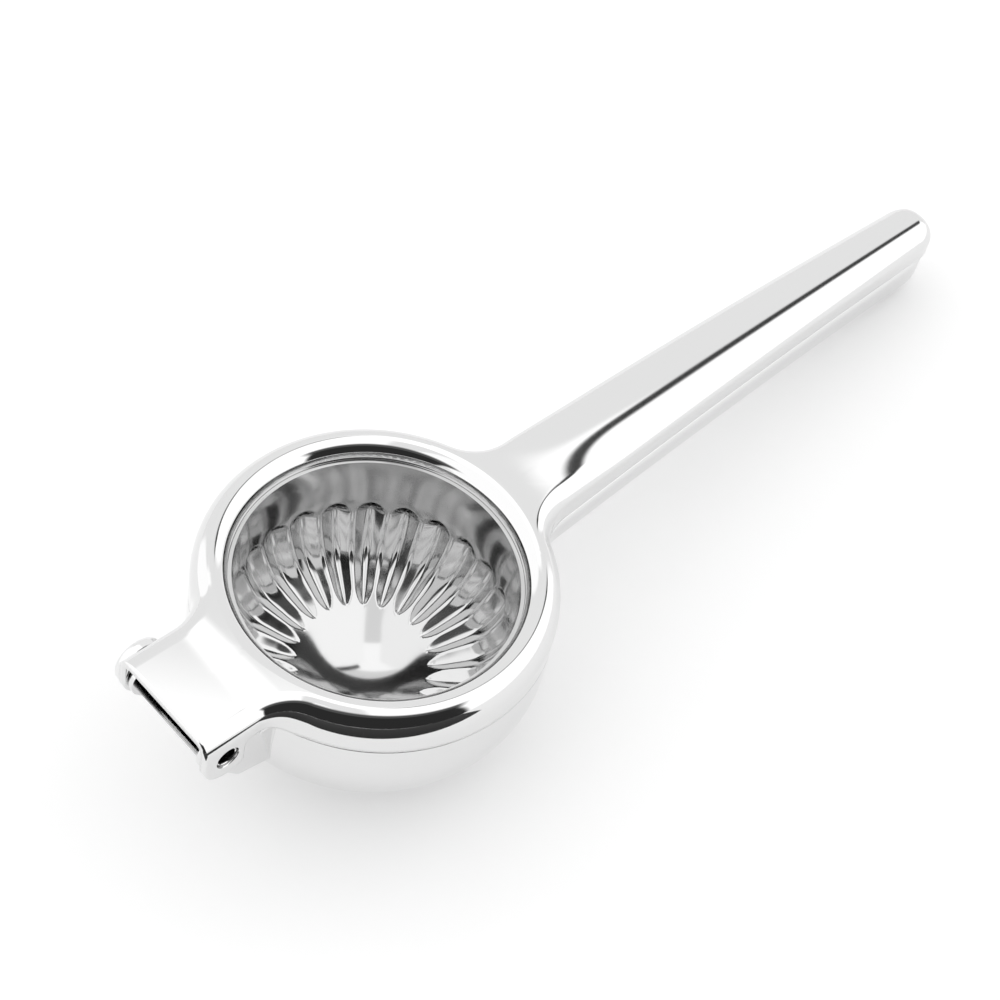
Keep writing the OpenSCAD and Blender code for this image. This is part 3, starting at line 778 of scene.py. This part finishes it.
polished = steel("polished_steel", (0.76, 0.76, 0.76), 0.06, 900, 0)
drawn = steel("drawn_steel", (0.64, 0.64, 0.64), 0.1, 900, 0)
satin = steel("cover_steel", (0.7, 0.7, 0.7), 0.3, 1500, 0.05)
rivet = steel("pin_steel", (0.8, 0.8, 0.8), 0.12, 900, 0)
for piece, material in ((press_arm, polished), (press_cup, drawn), (bowl, polished),
                        (bowl_grip, polished), (tongue, polished), (pin, rivet)):
    piece.data.materials.append(material)
for name in ("press_handle_cover", "bowl_handle_cover"):
    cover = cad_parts[name]
    for place in cover.material_slots:
        place.material = satin
    print(name, len(cover.material_slots), "slot")

# %% [markdown]
# Mirrors show the room, so the room matters as much as the steel. Lamps and planes
# could stand round the tool; here the world is painted by direction instead, which is
# free of noise: a pale backdrop all round, and on it boards and soft boxes, each a
# rectangle seen from the tool. A rectangle is drawn in the plane that faces it: with
# c the direction to its middle, r to its right and u up its face, a direction d
# falls at (d.r / d.c, d.u / d.c). The camera itself sees plain white.

# %% Studio
world = bpy.data.worlds.new("studio")
bpy.context.scene.world = world
world.use_nodes = True
sky = world.node_tree
sky.nodes.clear()
looking = sky.nodes.new("ShaderNodeTexCoord").outputs["Generated"]


def plug(socket, value):
    """Links a socket to another node's output, or sets it to a number."""
    if isinstance(value, bpy.types.NodeSocket):
        sky.links.new(value, socket)
    else:
        socket.default_value = value


def maths(kind, a, b=0.0, c=0.0):
    """One Math node."""
    node = sky.nodes.new("ShaderNodeMath")
    node.operation = kind
    for socket, value in zip(node.inputs, (a, b, c)):
        plug(socket, value)
    return node.outputs[0]


def dot(direction):
    """How far the looking direction runs along a fixed one."""
    node = sky.nodes.new("ShaderNodeVectorMath")
    node.operation = "DOT_PRODUCT"
    sky.links.new(looking, node.inputs[0])
    node.inputs[1].default_value = direction
    return node.outputs["Value"]


def inside(distance, half, soft):
    """1 within half, 0 beyond it, with a smooth edge of the given width."""
    node = sky.nodes.new("ShaderNodeMapRange")
    node.interpolation_type = "SMOOTHSTEP"
    plug(node.inputs["Value"], distance)
    node.inputs["From Min"].default_value = half + soft / 2
    node.inputs["From Max"].default_value = half - soft / 2
    return node.outputs["Result"]


def board(light, azimuth, elevation, width, height, brightness, soft=0.06, roll=0):
    """Paints one board over the light so far; azimuth 0 is the camera's side, +90 its right."""
    a, e, q = math.radians(azimuth + CAMERA_AZIMUTH), math.radians(elevation), math.radians(roll)
    c = np.array([math.cos(e) * math.cos(a), math.cos(e) * math.sin(a), math.sin(e)])
    right = np.array([-math.sin(a), math.cos(a), 0])
    up = np.cross(c, right)
    right, up = (math.cos(q) * right + math.sin(q) * up, math.cos(q) * up - math.sin(q) * right)
    ahead = maths("MAXIMUM", dot(c), 0.001)
    across, along = (maths("ABSOLUTE", maths("DIVIDE", dot(v), ahead)) for v in (right, up))
    size = [math.tan(math.radians(v / 2)) for v in (width, height)]
    mask = maths("MULTIPLY", inside(across, size[0], soft), inside(along, size[1], soft))
    return maths("MULTIPLY_ADD", mask, maths("SUBTRACT", brightness, light), light)


BACKDROP = 1.0
BOARDS = (
    # azimuth, elevation, width, height, brightness, softness, roll
    (180, 64, 150, 30, 1.45, 0.05),
    (-90, 30, 90, 110, 1.3, 0.15),
    (90, 30, 86, 100, 1.4, 0.15),
    (151, 44, 20, 4, 0.05, 0.03, 55),
    (12, 52, 80, 24, 0.1, 0.2),
    (12, 18, 82, 62, 0.03, 0.12),
)
light = BACKDROP
for row in BOARDS:
    light = board(light, *row)
rays = sky.nodes.new("ShaderNodeLightPath")
light = maths("MAXIMUM", light, rays.outputs["Is Camera Ray"])
background = sky.nodes.new("ShaderNodeBackground")
background.inputs["Color"].default_value = (1, 1, 1, 1)
sky.links.new(light, background.inputs["Strength"])
output = sky.nodes.new("ShaderNodeOutputWorld")
sky.links.new(background.outputs["Background"], output.inputs["Surface"])
print("studio", len(BOARDS), "boards")

# %% [markdown]
# The table is white paper. It takes the tool's soft shadow, and a little glow of its
# own, which only the camera and mirrors see, lifts its open part to white. More lamps
# would whiten it too, but they would burn out the steel as well.

# %% Floor
floor_z = float(low[2])
FLOOR_SIZE = 3.0
FLOOR_GLOW = 0.33
floor_mesh = bpy.data.meshes.new("floor")
floor_mesh.from_pydata([(x * FLOOR_SIZE, y * FLOOR_SIZE, floor_z)
                        for x, y in ((-1, -1), (1, -1), (1, 1), (-1, 1))], [], [(0, 1, 2, 3)])
floor = bpy.data.objects.new("floor", floor_mesh)
bpy.context.scene.collection.objects.link(floor)
floor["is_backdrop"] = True
paper = bpy.data.materials.new("white_paper")
paper.use_nodes = True
nodes, links = paper.node_tree.nodes, paper.node_tree.links
shader = nodes["Principled BSDF"]
shader.inputs["Base Color"].default_value = (0.75, 0.75, 0.75, 1)
shader.inputs["Roughness"].default_value = 0.9
shader.inputs["Specular IOR Level"].default_value = 0
shader.inputs["Emission Color"].default_value = (1, 1, 1, 1)
rays = nodes.new("ShaderNodeLightPath")
seen = nodes.new("ShaderNodeMath")
seen.operation = "MAXIMUM"
links.new(rays.outputs["Is Camera Ray"], seen.inputs[0])
links.new(rays.outputs["Is Glossy Ray"], seen.inputs[1])
glow = nodes.new("ShaderNodeMath")
glow.operation = "MULTIPLY"
glow.inputs[1].default_value = FLOOR_GLOW
links.new(seen.outputs[0], glow.inputs[0])
links.new(glow.outputs[0], shader.inputs["Emission Strength"])
floor.data.materials.append(paper)
print("floor at", round(floor_z, 5), "glow", FLOOR_GLOW)

# %% [markdown]
# A dark card lies on the table in front of the tool, just outside the frame. Only
# mirrors see it: it draws the black band on the near side of the ring, and neither
# the camera nor the white light from the table meets it.

# %% Dark card
CARD_NEAR = 0.088
CARD_FAR = 2.5
CARD_SIDES = ((-0.6, -0.040), (1.1, 0.020))
CARD_LIFT = 0.0005
toward = np.array([math.cos(math.radians(CAMERA_AZIMUTH)), math.sin(math.radians(CAMERA_AZIMUTH))])
rightward = np.array([-toward[1], toward[0]])
corners = [(near, slope * near + start) for near, (slope, start) in
           ((CARD_NEAR, CARD_SIDES[0]), (CARD_NEAR, CARD_SIDES[1]),
            (CARD_FAR, CARD_SIDES[1]), (CARD_FAR, CARD_SIDES[0]))]
card_mesh = bpy.data.meshes.new("dark_card")
card_points = [(*(w * toward + u * rightward), floor_z + CARD_LIFT) for w, u in corners]
card_mesh.from_pydata(card_points, [], [(0, 1, 2, 3)])
card = bpy.data.objects.new("dark_card", card_mesh)
bpy.context.scene.collection.objects.link(card)
card.visible_camera = False
card.visible_diffuse = False
card.visible_shadow = False
card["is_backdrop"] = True
felt = bpy.data.materials.new("black_felt")
felt.use_nodes = True
felt_shader = felt.node_tree.nodes["Principled BSDF"]
felt_shader.inputs["Base Color"].default_value = (0.02, 0.02, 0.02, 1)
felt_shader.inputs["Roughness"].default_value = 0.9
card.data.materials.append(felt)
print("dark card", len(card_points), "corners")

# %% [markdown]
# Last, the bounds of the dressed tool are measured and printed, as those of the
# solids were at the start.

# %% Finish
low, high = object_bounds()
print("scene", np.round(low, 4), np.round(high, 4))
